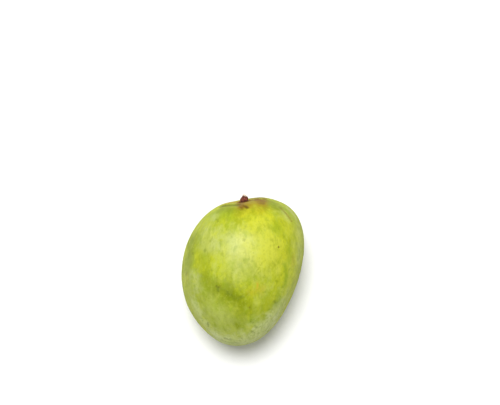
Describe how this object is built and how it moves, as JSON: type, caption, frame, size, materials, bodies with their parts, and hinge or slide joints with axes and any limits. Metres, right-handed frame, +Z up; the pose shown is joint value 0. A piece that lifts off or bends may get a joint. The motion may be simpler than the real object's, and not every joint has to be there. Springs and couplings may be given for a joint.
{
  "type": "mango",
  "caption": "Whole green mango lying on its cheek, plump kidney form with a shallow hollow and a woody stub where the stem grew.",
  "frame": {"origin": "on the surface that the fruit lies on, under the middle of its box", "axes": "+Y from the blossom end to the stem end, +X across the broad face, +Z up out of the resting face"},
  "size_m": [0.084, 0.1016, 0.0685],
  "materials": {
    "mango_skin": null,
    "stem_wood": "dry red-brown bark with a pale broken tip"
  },
  "bodies": {
    "root": {"mango_fruit": "mango_skin", "stem_stub": "stem_wood"}
  },
  "joints": []
}
